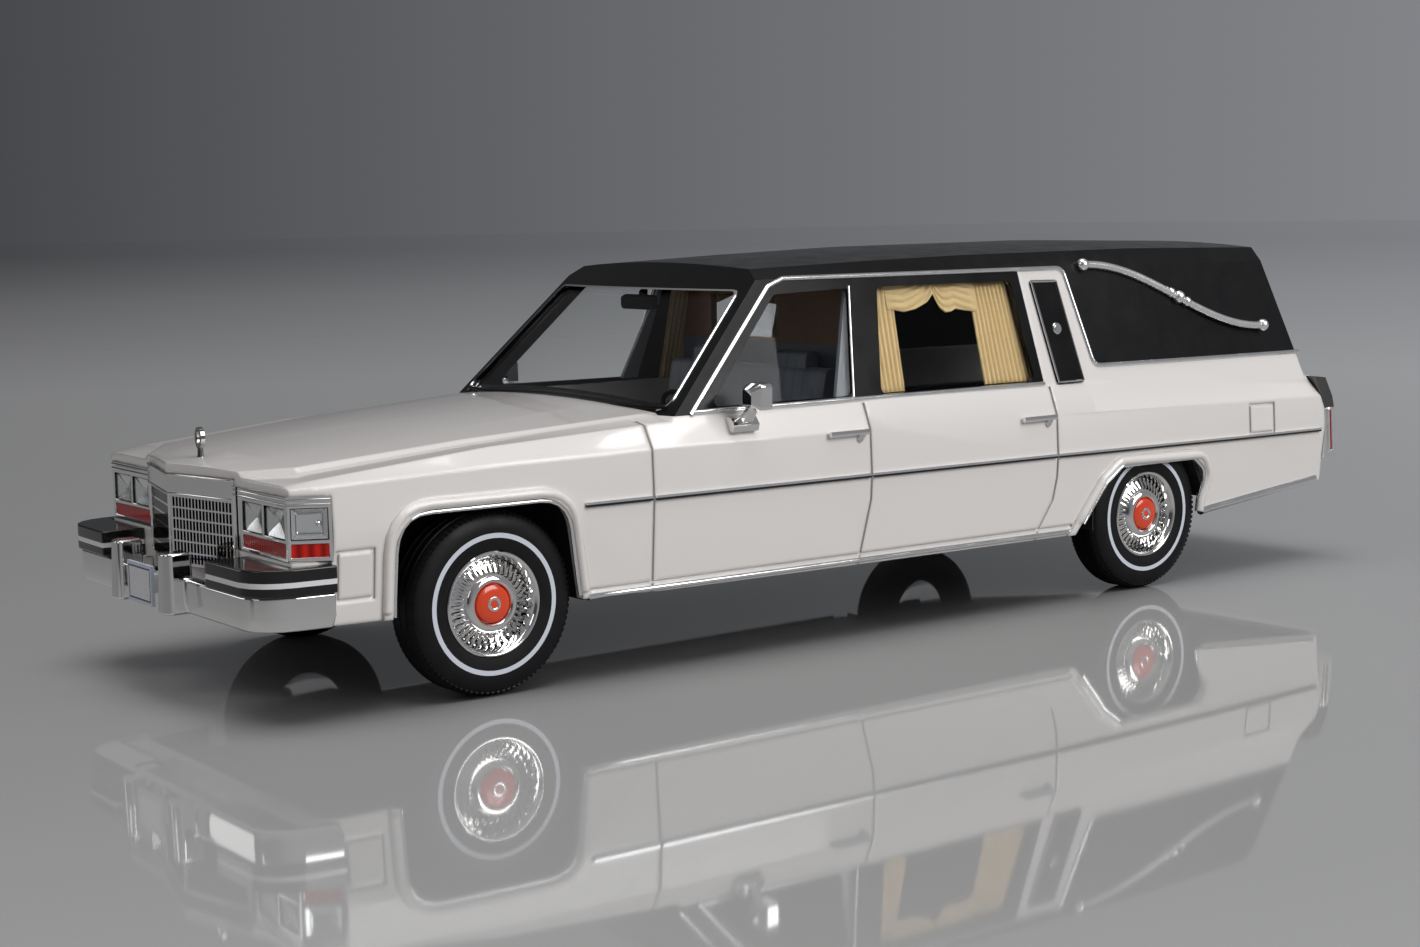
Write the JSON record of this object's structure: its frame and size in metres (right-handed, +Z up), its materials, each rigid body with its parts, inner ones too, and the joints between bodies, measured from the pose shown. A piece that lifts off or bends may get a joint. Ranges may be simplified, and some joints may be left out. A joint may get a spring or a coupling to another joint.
{
  "type": "scale model hearse",
  "caption": "Collector's scale model of a long-roofed hearse with landau bars, a glazed cabin with drapes, chrome bumpers, a pointed grille and axles that turn freely.",
  "frame": {"origin": "on the ground, under the middle of the model's length and width", "axes": "+X to the car's left, +Y to the tail, +Z up"},
  "size_m": [0.0478, 0.1446, 0.0389],
  "materials": {
    "white_paint": "glossy warm white paint on cast resin",
    "black_roof": "satin black paint",
    "black_trim": "satin black",
    "clear_glass": "clear glazing",
    "cream_drape": "moulded cream drapes",
    "silver_trim": "bright silver foil",
    "chrome_trim": "plated",
    "red_lens": "clear red",
    "black_rubber": "black strip with a white line",
    "white_plate": "blank plate",
    "base_metal": "black cast resin",
    "dark_plastic": "matt black",
    "seat_plastic": "blue-grey moulded seat",
    "axle_steel": "plain steel rod",
    "tyre_rubber": "black with a thin white ring",
    "red_cap": "orange-red cap"
  },
  "bodies": {
    "body": {"body_shell": "white_paint", "roof_shell": "black_roof", "door_frames": "black_trim", "windscreen": "clear_glass", "front_door_glass": "clear_glass", "rear_door_glass": "clear_glass", "tailgate_glass": "clear_glass", "drapes": "cream_drape", "roof_trims": "silver_trim", "screen_trim": "silver_trim", "lower_trims": "silver_trim", "coach_panels": "black_trim", "side_mouldings": "silver_trim", "landau_bars": "silver_trim", "grille": "chrome_trim", "headlamp_lenses": "clear_glass", "marker_lenses": "red_lens", "lamp_bezels": "chrome_trim", "front_bumper": "chrome_trim", "front_bumper_strip": "black_rubber", "front_plate": "white_plate", "rear_bumper": "chrome_trim", "rear_bumper_strip": "black_rubber", "tail_lamp_lenses": "red_lens", "tail_lamp_bezels": "chrome_trim", "door_handles": "chrome_trim", "door_mirrors": "chrome_trim", "hood_ornament": "chrome_trim", "baseplate": "base_metal", "interior_tub": "dark_plastic", "bench_seat": "seat_plastic", "partition": "seat_plastic", "dashboard": "dark_plastic", "steering_wheel": "dark_plastic", "cabin_mirror": "dark_plastic"},
    "front_axle": {"axle_front": "axle_steel", "tyre_front_left": "tyre_rubber", "tyre_front_right": "tyre_rubber", "wheel_covers_front": "chrome_trim", "caps_front": "red_cap"},
    "rear_axle": {"axle_rear": "axle_steel", "tyre_rear_left": "tyre_rubber", "tyre_rear_right": "tyre_rubber", "wheel_covers_rear": "chrome_trim", "caps_rear": "red_cap"}
  },
  "joints": [
    {"name": "front_axle_spin", "type": "hinge", "parent": "body", "child": "front_axle", "pos_m": [0, -0.0473, 0.00843], "axis": [1, 0, 0], "continuous": true},
    {"name": "rear_axle_spin", "type": "hinge", "parent": "body", "child": "rear_axle", "pos_m": [0, 0.03805, 0.00843], "axis": [1, 0, 0], "continuous": true}
  ]
}
